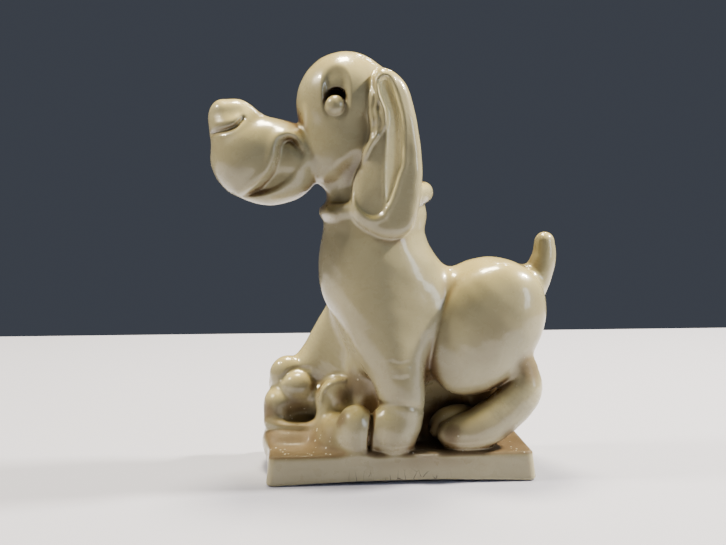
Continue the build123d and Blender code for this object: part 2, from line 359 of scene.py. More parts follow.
def shape_trunk():
    add_form("torso", trunk(foot_of("torso"), [
        (0.0, 4.9, 20.0, 17.0), (12.0, 5.9, 24.5, 21.0), (26.0, 3.9, 28.5, 23.5), (40.0, 0.9, 32.0, 24.5),
        (53.0, -1.6, 31.0, 24.5), (66.0, -4.6, 26.5, 22.6), (82.0, -4.1, 23.0, 19.5),
    ]), 1.0)
    add_form("neck", trunk(foot_of("neck"), [
        (0.0, 0.5, 23.2, 18.6), (14.0, -0.2, 23.5, 16.4), (30.0, -0.2, 22.5, 15.6),
        (46.0, -0.7, 20.5, 15.4), (60.0, -2.2, 17.5, 14.0), (70.0, -4.2, 9.0, 8.0),
    ]), 9.0)
    # The flank runs back under the front edge of the haunch.
    add_form("torso", egg(at("torso", 17.4, 0.0, -17.0), (20.0, 20.0, 29.0), 27.0), 8.0, 6.0)
    add_form("belly_web", trunk(foot_of("belly_web"), [
        (-1.5, -0.2, 43.0, 10.0), (19.5, -0.2, 43.0, 11.5), (43.5, -1.2, 38.0, 12.0),
    ]), 4.0)
    # Under the belly the clay is hollowed out from both sides, behind the forelegs.
    for _, side in SIDES:
        hollow = egg(at("belly_web", 6.0, side * 15.5, -6.0), (18.0, 13.4, 18.0))
        CLAY.append((hollow, 2.0, *box_mm("belly_web"), True))
    # The flank between the forelegs comes down behind the knob to the mound.
    add_form("belly_web", limb(placed(at("belly_web"), [
        (-33.0, 9.0, 23.0, 13.0, 9.5), (-41.0, 9.5, 8.0, 11.5, 8.5),
        (-45.5, 10.0, -8.0, 11.0, 8.5), (-45.0, 10.0, -20.0, 11.5, 9.0),
    ])), 4.0, 12.0)


HAUNCH_LEAN = 36.0
THIGH_INSET = 2.27      # how much nearer the centre a thigh's egg is than the middle of its box


def haunch_join(z):
    """Sharp along the flank, and flowing into the back at the top."""
    return 1.0 + 6.4 * smooth_step((z - 88.0) / 12.0)


def heel_join(z):
    """The heel flows into the haunch above it."""
    return 1.6 + 3.6 * smooth_step((z - 44.0) / 9.0)


def shape_haunch():
    """Rump and thighs are one form. A plainer egg for each says which part of the skin is its own."""
    form = all_of(
        egg(at("rump"), (24.6, 22.0, 31.0), HAUNCH_LEAN),
        egg(at("rump", -5.5, 0.0, 2.0), (24.0, 17.0, 26.0), 10.0),
        egg(at("thigh_left", -0.4, THIGH_INSET), (24.8, 14.5, 35.2), HAUNCH_LEAN),
        egg(at("thigh_right", -0.4, -THIGH_INSET), (24.8, 14.5, 35.2), HAUNCH_LEAN),
        blend=11.0,
    )
    lo = np.minimum(box_mm("rump")[0], box_mm("thigh_left")[0])
    hi = np.maximum(box_mm("rump")[1], box_mm("thigh_right")[1])
    CLAY.append((form, haunch_join, lo, hi, False))
    own("rump", egg(at("rump"), (25.5, 23.0, 32.0), HAUNCH_LEAN))
    for word, side in SIDES:
        middle = at("thigh_" + word, 0.0, -side * THIGH_INSET)
        own("thigh_" + word, egg(middle, (25.0, 15.0, 36.0), HAUNCH_LEAN))


def shape_forelegs():
    add_form("foreleg_left", limb(placed(at("foreleg_left"), [
        (-6.5, 11.5, 43.0, 15.0, 7.5), (-2.9, 5.4, 28.2, 17.0, 10.0), (0.0, 2.4, 14.2, 15.4, 10.5),
        (4.8, 0.4, -0.8, 12.9, 10.5), (7.6, -0.2, -15.8, 11.6, 10.2), (7.4, -0.2, -27.8, 10.6, 9.6),
    ])), 8.0, 24.0)
    add_form("foreleg_right", limb(placed(at("foreleg_right"), [
        (14.5, -2.8, 15.3, 20.0, 11.0), (3.5, -0.3, 1.3, 17.5, 12.0),
        (-8.5, 0.7, -10.7, 13.0, 11.5), (-19.5, 0.7, -18.7, 10.0, 9.8),
    ])), 6.0)


COLLAR_RADIUS = 23.2
COLLAR_ROLL = 5.4
COLLAR_SQUEEZE = 0.84
COLLAR_LEAN = -12.0


def shape_collar():
    """A roll round the neck, with a lobe hanging forward under the throat."""
    middle = at("collar", 0.0, 0.0, -1.2)
    add_form("collar", ring(middle, COLLAR_RADIUS, COLLAR_ROLL, COLLAR_SQUEEZE, COLLAR_LEAN), 1.2)
    add_form("collar", egg(at("collar", -21.9, 0.0, -6.4), (6.6, 15.5, 3.9), 8.0), 2.4)


def shape_head():
    add_form("head", egg(at("head", -2.5, 0.0, 9.2), (24.4, 22.5, 25.6)), 6.0)
    add_form("head", egg(at("head", 0.0, 0.0, -10.8), (27.0, 20.5, 24.0)), 4.0)
    add_form("muzzle", egg(at("muzzle", 9.9, 0.0, 0.5), (21.0, 17.5, 17.0)), 2.4)
    add_form("muzzle", egg(at("muzzle", -4.6), (20.6, 19.5, 20.5), 20.0), 7.0)
    add_form("jaw", egg(at("jaw", -1.3, 0.0, 5.2), (20.0, 14.5, 12.0), -12.0), 2.2)
    add_form("muzzle", egg(at("nose", 6.7, 0.0, -5.9), (10.0, 10.0, 10.3)), 6.0)
    add_form("nose", all_of(
        egg(at("nose", 0.3, 0.0, -1.6), (9.4, 10.8, 10.3)),
        egg(at("nose", -3.2, 0.0, 1.7), (5.9, 8.6, 7.1)),
        egg(at("nose", 4.0, 0.0, 0.6), (7.0, 9.0, 8.3)),
        blend=2.5,
    ), 8.0)
    for word, side in SIDES:
        add_form("ear_" + word, ear("ear_" + word, side), 1.6)


def shape_tail_and_hind_feet():
    tail = at("tail")
    add_form("tail", limb(placed((tail[0], 0.0, tail[2]), [
        (-8.0, 0.0, -13.8, 9.6, 9.0), (-2.0, 0.0, -4.8, 7.6, 7.2),
        (1.7, 0.0, 5.2, 6.2, 6.0), (1.9, 0.0, 13.1, 5.0, 4.9),
    ])), 3.0)
    for word, side in SIDES:
        add_form("hind_foot_" + word, limb(placed(at("hind_foot_" + word), [
            (-23.9, side * 1.1, -13.9, 6.6, 6.2), (-17.4, side * 1.1, -13.4, 9.2, 8.8),
            (-7.4, side * 0.6, -10.4, 10.6, 9.6), (3.6, side * -0.4, -2.9, 10.6, 9.4),
            (12.6, side * -1.4, 6.6, 9.6, 8.6), (13.2, side * -2.9, 16.6, 7.4, 7.0),
        ])), heel_join)
        toe = at("hind_toe_" + word, 0.0, side * 0.13)
        add_form("hind_toe_" + word, egg(toe, (12.5, 7.5, 9.0), -18.0), 1.6)


def shape_plinth_and_toes():
    add_form("plinth", plinth, 2.2)
    # Glaze has puddled on the plinth's front edge, between the big toe and the hind foot.
    top = box_mm("plinth")[1][2]
    add_form("plinth", egg((11.5, -25.6, top - 0.1), (9.5, 3.6, 0.9)), 0.8)
    add_form("toe_left_outer", all_of(
        egg(at("toe_left_outer", -1.4, 0.0, -0.5), (11.6, 10.6, 12.2)),
        egg(at("toe_left_outer", -1.2, 0.3, -7.2), (11.2, 10.2, 9.0)),
        blend=4.0,
    ), 1.8)
    add_form("toe_left_inner", all_of(
        egg(at("toe_left_inner", 0.1, 0.0, -0.5), (8.7, 10.2, 12.0)),
        egg(at("toe_left_inner", 0.2, 0.3, -7.0), (8.2, 9.8, 9.0)),
        blend=4.0,
    ), 6.0)


def shape_mound():
    add_form("ground_mound", egg(at("ground_mound", 0.2, 0.0, -1.7), (16.4, 17.0, 7.4)), 6.0)
    # The mound comes forward under its lip, and the floor of the hollow rises behind it.
    add_form("ground_mound", limb(placed(at("ground_mound"), [
        (-6.6, -9.5, -1.4, 7.2, 8.0), (10.0, -9.5, -1.4, 7.2, 8.0),
    ])), 9.0, 8.0)
    add_form("ground_mound", egg(at("ground_mound", 1.0, -1.0, 1.4), (14.0, 9.5, 9.6)), 3.0, 6.0)
    # A prop behind the hollow carries the raised paw.
    add_form("ground_mound", egg(at("ground_mound", 1.6, 7.6, 9.0), (13.5, 8.0, 14.0)), 4.0, 8.0)
    # The mound's front edge stands up as a lip, round from the lump to the knob.
    add_form("ground_mound", limb(placed(at("ground_mound"), [
        (-12.4, -8.0, 7.6, 2.2, 3.0), (-9.4, -10.4, 7.5, 2.1, 3.0), (-5.4, -11.6, 7.3, 2.0, 3.0),
        (1.6, -12.3, 7.0, 2.0, 3.0), (7.6, -12.3, 7.1, 2.0, 3.0), (12.1, -12.6, 8.6, 2.2, 3.0),
        (14.4, -12.4, 12.8, 2.4, 3.0), (14.6, -11.8, 17.0, 2.8, 3.2),
    ])), 1.8, 14.0)
    # Glaze and clay have run together between the knob and the inner toe.
    run_together = egg(at("ground_mound", 18.6, -18.0, 0.4), (8.6, 15.0, 13.6))
    add_form("ground_mound", run_together, 8.0, 18.0)
    add_form("mound_lump", egg(at("mound_lump", 2.6, 0.0, 1.2), (5.8, 6.8, 9.6)), 6.0)
    add_form("ground_knob", all_of(
        egg(at("ground_knob", -3.6, -1.6, -2.0), (5.2, 7.2, 12.5)),
        egg(at("ground_knob", 3.0, -0.8, 7.0), (10.4, 9.2, 9.4)),
        blend=3.0,
    ), 2.6, 6.0)


def shape_paw():
    add_form("paw_right", egg(at("paw_right", -0.4, -0.5), (11.5, 10.5, 12.0)), 2.4)
    # The pad under the paw hangs down over the hollow.
    add_form("paw_right", limb(placed(at("paw_right"), [
        (-8.8, -6.0, -8.6, 5.2, 8.0), (0.0, -4.6, -8.2, 5.8, 9.0), (8.6, -4.6, -7.0, 6.2, 8.0),
    ])), 7.0, 8.0)
    add_form("toe_right_far", egg(at("toe_right_far", 2.3, 0.0, 0.6), (7.0, 6.5, 11.0)), 1.8)
    add_form("toe_right_middle", egg(at("toe_right_middle", 1.4), (9.6, 7.2, 9.8)), 1.4)
    add_form("toe_right_near", egg(at("toe_right_near", -0.6, 0.0, 1.2), (8.8, 6.9, 7.7)), 1.4)


shape_trunk()
shape_haunch()
shape_forelegs()
shape_collar()
shape_head()
shape_tail_and_hind_feet()
shape_plinth_and_toes()
shape_mound()
shape_paw()

# The grid that the whole figure is worked out on.
GRID_LO = np.array(CAD_BOX[0][:]) / MM - GRID_SPARE
GRID_HI = np.array(CAD_BOX[1][:]) / MM + GRID_SPARE
LINES = [np.arange(a, b, CELL) for a, b in zip(GRID_LO, GRID_HI)]
clay = np.full([len(line) for line in LINES], FAR, dtype=np.float32)


def window(lo, hi):
    """The slices of the grid inside a box, and its X, Y and Z there."""
    cut = []
    for line, a, b in zip(LINES, lo, hi):
        cut.append(slice(int(np.searchsorted(line, a)), int(np.searchsorted(line, b))))
    x, y, z = (line[s] for line, s in zip(LINES, cut))
    return tuple(cut), x[:, None, None], y[None, :, None], z[None, None, :]


for distance, blend, lo, hi, taken_away in CLAY:
    cut, x, y, z = window(lo - MARGIN, hi + MARGIN)
    if taken_away:
        clay[cut] = soft_max(clay[cut], -distance(x, y, z), blend)
    else:
        rounding = blend(z) if callable(blend) else blend
        clay[cut] = soft_min(clay[cut], distance(x, y, z), rounding)


def press(path, depth, width, side, near):
    """A groove along a path of the side view, or a ridge where depth is negative, on one side only."""
    line = flowing(path, 5)
    lo = np.array((line[:, 0].min() - 3 * width, -40.0, line[:, 1].min() - 3 * width))
    hi = np.array((line[:, 0].max() + 3 * width, 40.0, line[:, 1].max() + 3 * width))
    cut, x, y, z = window(lo, hi)
    fade = smooth_step((y * side - near) / 3.0)
    clay[cut] += depth * np.exp(-((path_distance(line, x, z) / width) ** 2)) * fade


def press_eye(word, side):
    """A tall arched socket that gets deeper towards the bead of the eye, which stands in it."""
    name = "eye_" + word
    e = at(name)
    cut, x, y, z = window(e - np.array((10.0, 16.0, 12.0)), e + np.array((10.0, 16.0, 24.0)))
    across, up = (x - e[0] - 0.2) / 6.3, (z - e[2] - 6.0) / 13.4
    within = 6.3 * (1.0 - (np.abs(across) ** 2.8 + np.abs(up) ** 2.8) ** (1 / 2.8))
    heights, depths = (-7.0, -3.0, 2.0, 7.0, 12.0, 19.0), (1.2, 2.2, 3.5, 3.4, 1.7, 0.6)
    sink = np.interp(z - e[2], heights, depths)
    clay[cut] += sink * smooth_step((within + 0.9) / 3.6) * smooth_step((y * side - 6.0) / 4.0)
    c = at(name, 0.1, side * 1.5, 4.2)
    cut, x, y, z = window(c - 12.0, c + 12.0)
    clay[cut] = soft_max(clay[cut], -egg(c, (5.3, 6.0, 4.5))(x, y, z), 1.0)
    press(side_view(e, [
        (-6.2, 4.0), (-6.2, 11.0), (-3.6, 17.0), (0.2, 19.2), (4.4, 16.6), (6.4, 10.0), (6.4, 4.0),
    ]), -0.2, 1.8, side, 10.0)
    lo, hi = box_mm(name)
    bead = egg(e, (hi - lo) / 2)
    cut, x, y, z = window(e - 12.0, e + 12.0)
    clay[cut] = soft_min(clay[cut], bead(x, y, z), 0.7)
    own(name, bead)


def press_mouth(side):
    """A comma-shaped scoop, steep under the lip and easy towards the cheek."""
    m = at("muzzle")
    lip = side_view(m, [
        (19.0, 6.0), (16.2, 9.6), (12.3, 10.3), (8.2, 7.4), (6.2, -1.2), (2.6, -8.6), (-4.0, -14.4),
        (-10.0, -18.2),
    ])
    cheek = side_view(m, [(-7.0, -19.6), (4.5, -17.6), (13.0, -12.8), (19.2, -5.6), (21.4, 1.2)])
    loop, edge = flowing(lip + cheek, 5, True), flowing(lip[1:], 5)
    cut, x, y, z = window(np.array((loop[:, 0].min() - 4, -30.0, loop[:, 1].min() - 4)),
                          np.array((loop[:, 0].max() + 4, 30.0, loop[:, 1].max() + 4)))
    inside = smooth_step((-outline_distance(loop, x, z) + 0.6) / 3.6)
    under = np.exp(-((path_distance(edge, x, z) / 9.5) ** 2))
    tail = 0.35 + 0.65 * smooth_step((x - m[0] + 11.0) / 13.0)
    clay[cut] += 5.2 * inside * under * tail * smooth_step((y * side - 3.0) / 4.0)
    press([(px - 1.4, pz + 0.9) for px, pz in lip[1:]], -0.9, 2.4, side, 4.0)


def press_nose(side):
    """A curled crease under the nose's tip and a hollow on its side."""
    n = at("nose")
    press(side_view(n, [(-8.6, -8.2), (-4.7, -7.2), (-0.4, -6.4), (4.3, -4.5), (7.7, -0.9)]),
          1.4, 1.2, side, 1.5)
    press(side_view(n, [(-5.0, -3.6), (0.6, -2.6), (5.6, -0.6)]), -0.4, 1.6, side, 3.0)
    press(side_view(n, [(-4.6, 2.2), (1.4, 2.0), (5.0, 2.6)]), 0.9, 3.2, side, 3.0)


def press_cheek(side):
    """The back edge of the cheek stands over the neck."""
    h = at("head")
    press(side_view(h, [(1.0, -18.5), (-4.0, -23.4), (-8.0, -27.6), (-11.5, -31.6)]), 1.7, 3.8, side, 5.0)
    press(side_view(h, [(-2.0, -14.6), (-7.2, -19.0), (-10.8, -22.4), (-15.0, -26.6)]),
          -0.35, 1.8, side, 5.0)
    press(side_view(h, [(4.0, -24.0), (-1.0, -31.0), (-5.0, -37.0)]), 2.2, 5.5, side, 6.0)


def press_front_feet():
    # Left foreleg: faint creases at the wrist, and the line where the big toe starts.
    f = at("foreleg_left")
    press(side_view(f, [(2.0, 3.2), (5.5, 2.4), (9.4, 2.8)]), 0.28, 1.3, LEFT, 20.0)
    press(side_view(f, [(3.4, -4.4), (6.0, -5.0), (9.0, -4.6)]), 0.26, 1.2, LEFT, 20.0)
    press(side_view(f, [(-5.6, -19.8), (-1.4, -18.1), (5.6, -17.4), (13.4, -18.8), (17.0, -21.5)]),
          0.8, 1.6, LEFT, 14.0)
    # Toes: a narrow dark gap between the inner and the big one.
    g = at("toe_left_inner")
    press(side_view(g, [(9.2, 11.0), (8.0, 5.0), (6.8, -2.5), (6.4, -9.5)]), 1.9, 0.85, LEFT, 13.0)
    # Knob: a rolled rim round the upper left of its face, which is sunk a little.
    k = at("ground_knob")
    press(side_view(k, [(-7.4, 5.0), (-6.4, 9.6), (-3.6, 13.0), (0.4, 15.0), (5.0, 15.6)]),
          -0.9, 1.4, LEFT, 0.0)
    press(side_view(k, [(-1.6, 6.6), (2.4, 9.6), (7.4, 7.6)]), 1.3, 4.2, LEFT, 0.0)
    # Raised paw: the crease between its near knuckle and the one above.
    q = at("toe_right_near")
    press(side_view(q, [(-8.8, 5.0), (-5.4, 8.8), (-0.6, 10.2), (5.0, 10.0)]), 0.8, 1.2, LEFT, -12.0)


THUMB = 3.0
THUMB_REACH = 16.0


def fill_tail_root():
    """The tail's root was filled and smoothed over with a thumb."""
    r = at("tail", -11.0, 0.0, -9.0)
    cut, x, y, z = window(r - 22.0, r + 22.0)
    filled = clay[cut].copy()
    for _ in range(round(2.0 * (THUMB / CELL) ** 2)):
        for axis in range(3):
            filled = (np.roll(filled, 1, axis) + 2.0 * filled + np.roll(filled, -1, axis)) / 4.0
    away = np.sqrt((x - r[0]) ** 2 + (y - r[1]) ** 2 + (z - r[2]) ** 2)
    clay[cut] += np.minimum(filled - clay[cut], 0.0) * smooth_step((THUMB_REACH - away) / 7.0)


def unevenness():
    """The clay was smoothed by hand, so no surface above the plinth is exactly even."""
    x, y, z = LINES[0][:, None, None], LINES[1][None, :, None], LINES[2][None, None, :]
    wander = np.sin(x * 0.17 + 1.3) * np.sin(y * 0.21 + 0.4) * np.sin(z * 0.13 + 2.1)
    wander = wander + 0.5 * np.sin(x * 0.39 + z * 0.31) * np.sin(y * 0.33 - z * 0.27 + 1.0)
    return (0.16 * wander * smooth_step((z - box_mm("plinth")[1][2]) / 6.0)).astype(np.float32)


for word, side in SIDES:
    press_eye(word, side)
    press_mouth(side)
    press_nose(side)
    press_cheek(side)
press_front_feet()
fill_tail_root()
clay += unevenness()

# One skin over all of it.
grid = openvdb.FloatGrid(background=FAR)
grid.copyFromArray(clay, tolerance=0.0)
points, quads = grid.convertToQuads(isovalue=0.0)
start = np.array([line[0] for line in LINES])


def sample(field, where):
    """The field at points in millimetres, between its grid values."""
    g = (where - start) / CELL
    g = np.clip(g, 0.0, np.array(field.shape) - 1.001)
    i = g.astype(int)
    f = g - i
    total = 0.0
    for corner in range(8):
        o = np.array((corner & 1, corner >> 1 & 1, corner >> 2 & 1))
        weight = np.prod(np.where(o, f, 1.0 - f), axis=1)
        j = i + o
        total = total + weight * field[j[:, 0], j[:, 1], j[:, 2]]
    return total


def unit(vectors):
    return vectors / np.maximum(np.linalg.norm(vectors, axis=1, keepdims=True), 1e-9)


def slope_at(where):
    """The outward normal of the clay at points."""
    step = CELL * 0.8
    parts = []
    for axis in range(3):
        shift = np.zeros(3)
        shift[axis] = step
        parts.append(sample(clay, where + shift) - sample(clay, where - shift))
    return unit(np.stack(parts, axis=1))


# Each quad is cut into triangles along its shorter diagonal.
points = points.astype(float) * CELL + start
points[:, 2] = np.maximum(points[:, 2], box_mm("plinth")[0][2])
long_way = np.linalg.norm(points[quads[:, 0]] - points[quads[:, 2]], axis=1)
short_way = np.linalg.norm(points[quads[:, 1]] - points[quads[:, 3]], axis=1)
first = long_way <= short_way
tris = np.concatenate([
    quads[first][:, [0, 1, 2]], quads[first][:, [0, 2, 3]],
    quads[~first][:, [0, 1, 3]], quads[~first][:, [1, 2, 3]],
]).astype(np.int64)

# Which node each point belongs to: the one whose own form is nearest.
names = sorted({node for node, *_ in OWNERS})
reach = np.full((len(names), len(points)), 99.0)
for node, distance, lo, hi in OWNERS:
    inside = np.all((points > lo - 7.0) & (points < hi + 7.0), axis=1)
    p = points[inside]
    row = reach[names.index(node)]
    row[inside] = np.minimum(row[inside], distance(p[:, 0], p[:, 1], p[:, 2]))
owner = np.argmin(reach, axis=0)


def edges_of(triangles):
    return np.concatenate([triangles[:, [0, 1]], triangles[:, [1, 2]], triangles[:, [2, 0]]])


def patches(labels):
    """For each point, the lowest point of the patch of one label that it is in."""
    edges = edges_of(tris)
    edges = edges[labels[edges[:, 0]] == labels[edges[:, 1]]]
    root = np.arange(len(labels))
    while True:
        a, b = root[edges[:, 0]], root[edges[:, 1]]
        low = np.minimum(a, b)
        new = root.copy()
        np.minimum.at(new, a, low)
        np.minimum.at(new, b, low)
        new = new[new]
        if np.array_equal(new, root):
            return root
        root = new


# Crumbs of a node that lie inside another one join it.
CRUMB_ROUNDS = 4
for _ in range(CRUMB_ROUNDS):
    root = patches(owner)
    count = np.bincount(root, minlength=len(owner))
    crumb = count[root] < CRUMB * (FINE_CELL / CELL) ** 2
    biggest = {n: count[root[owner == n]].max() for n in range(len(names)) if (owner == n).any()}
    for n, size in biggest.items():
        crumb &= ~((owner == n) & (count[root] == size))
    if not crumb.any():
        break
    edges = edges_of(tris)
    edges = np.concatenate([edges, edges[:, ::-1]])
    edges = edges[crumb[edges[:, 0]] & ~crumb[edges[:, 1]]]
    votes = np.zeros((len(names), len(points)), dtype=np.int32)
    np.add.at(votes, (owner[edges[:, 1]], root[edges[:, 0]]), 1)
    winner = np.argmax(votes, axis=0)
    owner = np.where(crumb & (votes.max(axis=0)[root] > 0), winner[root], owner)

# Each triangle that two or three nodes share is cut where they are equally near.
normals = slope_at(points)
MID = (0.12, 0.88)      # a cut stays this share of an edge away from its ends
extra_points, extra_normals, crossing = [], [], {}
same = (owner[tris[:, 0]] == owner[tris[:, 1]]) & (owner[tris[:, 1]] == owner[tris[:, 2]])
faces_of = {}
for n in range(len(names)):
    faces_of[n] = [tuple(t) for t in tris[same & (owner[tris[:, 0]] == n)]]


def new_point(place, normal):
    """Keeps a point that the skin didn't have, and gives its number."""
    extra_points.append(place)
    extra_normals.append(normal)
    return len(points) + len(extra_points) - 1


def cross(u, v):
    """The point on an edge where its ends' nodes are equally near."""
    a, b = min(u, v), max(u, v)
    if (a, b) not in crossing:
        du = reach[owner[b], a] - reach[owner[a], a]
        dv = reach[owner[a], b] - reach[owner[b], b]
        t = min(max(du / (du + dv) if du > 0 and dv > 0 else 0.5, MID[0]), MID[1])
        place = points[a] * (1 - t) + points[b] * t
        crossing[a, b] = new_point(place, normals[a] * (1 - t) + normals[b] * t)
    return crossing[a, b]


for tri in tris[~same]:
    a, b, c = (int(v) for v in tri)
    la, lb, lc = owner[a], owner[b], owner[c]
    if la != lb and lb != lc and la != lc:
        ab, bc, ca = cross(a, b), cross(b, c), cross(c, a)
        m = new_point((points[a] + points[b] + points[c]) / 3, normals[a] + normals[b] + normals[c])
        faces_of[la] += [(a, ab, m), (a, m, ca)]
        faces_of[lb] += [(b, bc, m), (b, m, ab)]
        faces_of[lc] += [(c, ca, m), (c, m, bc)]
        continue
    while owner[b] != owner[c]:
        a, b, c = b, c, a
    ab, ca = cross(a, b), cross(c, a)
    faces_of[owner[a]] += [(a, ab, ca)]
    faces_of[owner[b]] += [(ab, b, c), (ab, c, ca)]

points = np.vstack([points, np.array(extra_points)])
normals = unit(np.vstack([normals, np.array(extra_normals)]))

# What the glaze goes by at each point: how much of it pools, because a crease has clay close in
# front, which also paints the shade there; how deep in a hollow the point is, which sets the painted
# shade of hollows; and how thin the clay behind an edge is.
near_gap = 1.0 - sample(clay, points + normals * 2.5) / 2.5
wide_gap = 1.0 - sample(clay, points + normals * 6.5) / 6.5
pool_and_shade = np.clip(0.55 * near_gap + 0.75 * wide_gap, 0.0, 1.0)
deep = np.clip(1.0 - sample(clay, points + normals * 14.0) / 14.0, 0.0, 1.0)
thin = np.clip(1.0 + sample(clay, points - normals * 2.5) / 2.5, 0.0, 1.0)

# Places and their radii, in three lists: where the glaze has run off; painted shade, near black, in the
# eye sockets above the beads and in the hollow between foreleg and hind foot; and open hollows, where
# the pooled brown and the painted shade are eased.
PATCHES = [
    (at("ground_knob", 4.0, -9.0, 8.0), 8.0), (at("ground_mound", 18.6, -24.0, 8.0), 9.0),
    (at("mound_lump", 0.0, -3.0, 2.0), 9.0), (at("paw_right", 0.0, -12.0, -12.0), 10.0),
    (at("toe_left_inner", -7.5, -3.0, 4.0), 7.0), (at("toe_left_inner", 0.0, 15.0, 17.0), 11.0),
]
PAINTED_BLACK_SPOTS = [(at("ground_knob", 44.0, -16.0, -7.0), 9.5)]
OPEN_HOLLOWS = [(at("paw_right", -2.0, -8.0, -12.0), 19.0), (at("ground_knob", 3.0, -8.0, 6.0), 14.0)]
for word, side in SIDES:
    foot = "hind_foot_" + word
    PATCHES.append((at(foot, 13.6, side * 1.0, 19.0), 13.0))
    PATCHES.append((at(foot, -24.0, side * 6.0, -12.0), 8.0))
    PATCHES.append((at(foot, 5.0, side * 6.0, -14.0), 8.0))
    PAINTED_BLACK_SPOTS.append((at("eye_" + word, 0.6, 0.0, 5.0), 7.4))


def near_any(spots):
    """1 at the middle of a spot and 0 at its radius, for every point."""
    total = np.zeros(len(points))
    for place, radius in spots:
        total = np.maximum(total, 1.0 - np.linalg.norm(points - place, axis=1) / radius)
    return total


bare, black_shade, channel_light = near_any(PATCHES), near_any(PAINTED_BLACK_SPOTS), np.zeros(len(points))
on_bead = np.isin(owner, [names.index("eye_left"), names.index("eye_right")])
black_shade[:len(owner)][on_bead] = 0.0
for word, _ in SIDES:
    # Ears: the pooled brown and its painted shade are halved on them, and their channel gets painted light,
    # paler and yellower.
    lo, hi = box_mm("ear_" + word)
    mine = np.flatnonzero(np.all((points > lo - 0.5) & (points < hi + 0.5), axis=1))
    pool_and_shade[mine] *= 0.5
    hollow, fold = ear_lines("ear_" + word)
    x, y, z = points[mine].T
    past = smooth_step((behind_fold(fold, x, z) + 0.3) / 1.2)
    outward = smooth_step((np.abs(y) - 12.0) / 3.0)
    channel_light[mine] = past * smooth_step((0.4 - outline_distance(hollow, x, z)) / 1.6) * outward
# The pooled brown and the painted shade are eased in the open hollows.
painted_shade_eased = smooth_step(2.0 * near_any(OPEN_HOLLOWS))
pool_and_shade *= 1.0 - 0.6 * painted_shade_eased
deep *= 1.0 - 0.8 * painted_shade_eased
LOOKS = {"pool_and_shade": pool_and_shade, "thin": thin, "deep": deep, "bare": bare, "black_shade": black_shade, "channel_light": channel_light}

# Materials: one glaze, worked out from place, crease and edge, so that it runs on across every seam.
IVORY_DULL, IVORY_BRIGHT = (0.322, 0.286, 0.166), (0.384, 0.344, 0.204)
IVORY_MOTTLE = (0.282, 0.244, 0.134)
PAINTED_TOP_LIGHT = (0.46, 0.370, 0.135)
IVORY_EDGE = (0.47, 0.400, 0.215)
POOLED_BROWN_AND_SHADE = (0.150, 0.088, 0.036)
PAINTED_HOLLOW_SHADE = (0.50, 0.40, 0.30)
EARTH_DARK, EARTH_LIGHT = (0.100, 0.061, 0.027), (0.145, 0.095, 0.047)
PAINTED_CHANNEL_LIGHT = (0.96, 0.84, 0.44)
CRAZE_LINE = (0.25, 0.165, 0.08)
SPECK_BROWN = (0.13, 0.075, 0.03)
PAINTED_SHADE_BLACK = (0.030, 0.018, 0.009)
PAINTED_GLINT_PALE = (0.86, 0.80, 0.62)
GRIME_BLACK = (0.03, 0.018, 0.01)
BARE_CLAY = (0.50, 0.44, 0.34)


class Nodes:
    """The nodes of a new material, with short ways to add the usual ones."""

    def __init__(self, name):
        self.material = bpy.data.materials.new(name)
        self.material.use_nodes = True
        self.tree = self.material.node_tree
        self.tree.nodes.clear()
        self.place = self.add("ShaderNodeTexCoord").outputs["Object"]

    def add(self, kind, **values):
        made = self.tree.nodes.new(kind)
        for key, value in values.items():
            setattr(made, key, value)
        return made

    def put(self, socket, value):
        """Gives a socket a number, a colour or another node's output."""
        if isinstance(value, (int, float)):
            socket.default_value = value
        elif isinstance(value, tuple):
            socket.default_value = (*value, 1.0)
        else:
            self.tree.links.new(value, socket)

    def maths(self, operation, a, b=0.0, clamp=False):
        made = self.add("ShaderNodeMath", operation=operation, use_clamp=clamp)
        self.put(made.inputs[0], a)
        self.put(made.inputs[1], b)
        return made.outputs[0]

    def plus(self, a, b, clamp=False):
        return self.maths("ADD", a, b, clamp)

    def times(self, a, b, clamp=False):
        return self.maths("MULTIPLY", a, b, clamp)

    def mix(self, factor, a, b, kind="MIX"):
        made = self.add("ShaderNodeMix", data_type="RGBA", blend_type=kind)
        for socket, value in ((made.inputs[0], factor), (made.inputs[6], a), (made.inputs[7], b)):
            self.put(socket, value)
        return made.outputs[2]

    def span(self, value, low, high, to_low=0.0, to_high=1.0):
        """A value eased from one range into another."""
        made = self.add("ShaderNodeMapRange", interpolation_type="SMOOTHSTEP")
        for socket, number in zip(made.inputs[:5], (value, low, high, to_low, to_high)):
            self.put(socket, number)
        return made.outputs[0]

    def noise(self, scale, detail=3.0, rough=0.55, output="Fac"):
        made = self.add("ShaderNodeTexNoise")
        self.put(made.inputs["Vector"], self.place)
        self.put(made.inputs["Scale"], scale)
        self.put(made.inputs["Detail"], detail)
        self.put(made.inputs["Roughness"], rough)
        return made.outputs[output]

    def cells(self, scale, vector=None, feature="DISTANCE_TO_EDGE"):
        made = self.add("ShaderNodeTexVoronoi", feature=feature)
        self.put(made.inputs["Vector"], vector or self.place)
        self.put(made.inputs["Scale"], scale)
        return made.outputs["Distance"]

    def dots(self, scale, outer, inner):
        """Round dots, one in each cell."""
        return self.span(self.cells(scale, None, "F1"), outer, inner)

    def look(self, name):
        return self.add("ShaderNodeAttribute", attribute_name=name).outputs["Fac"]

    def part(self, vector, axis):
        made = self.add("ShaderNodeSeparateXYZ")
        self.put(made.inputs[0], vector)
        return made.outputs[axis]


def wobbled(n):
    """Places pushed about a little, so that cracks drawn from them aren't straight."""
    gain = n.add("ShaderNodeVectorMath", operation="SCALE")
    n.put(gain.inputs[0], n.noise(160.0, 2.0, 0.5, "Color"))
    n.put(gain.inputs["Scale"], 0.0022)
    wobble = n.add("ShaderNodeVectorMath", operation="ADD")
    n.put(wobble.inputs[0], n.place)
    n.put(wobble.inputs[1], gain.outputs[0])
    return wobble.outputs[0]


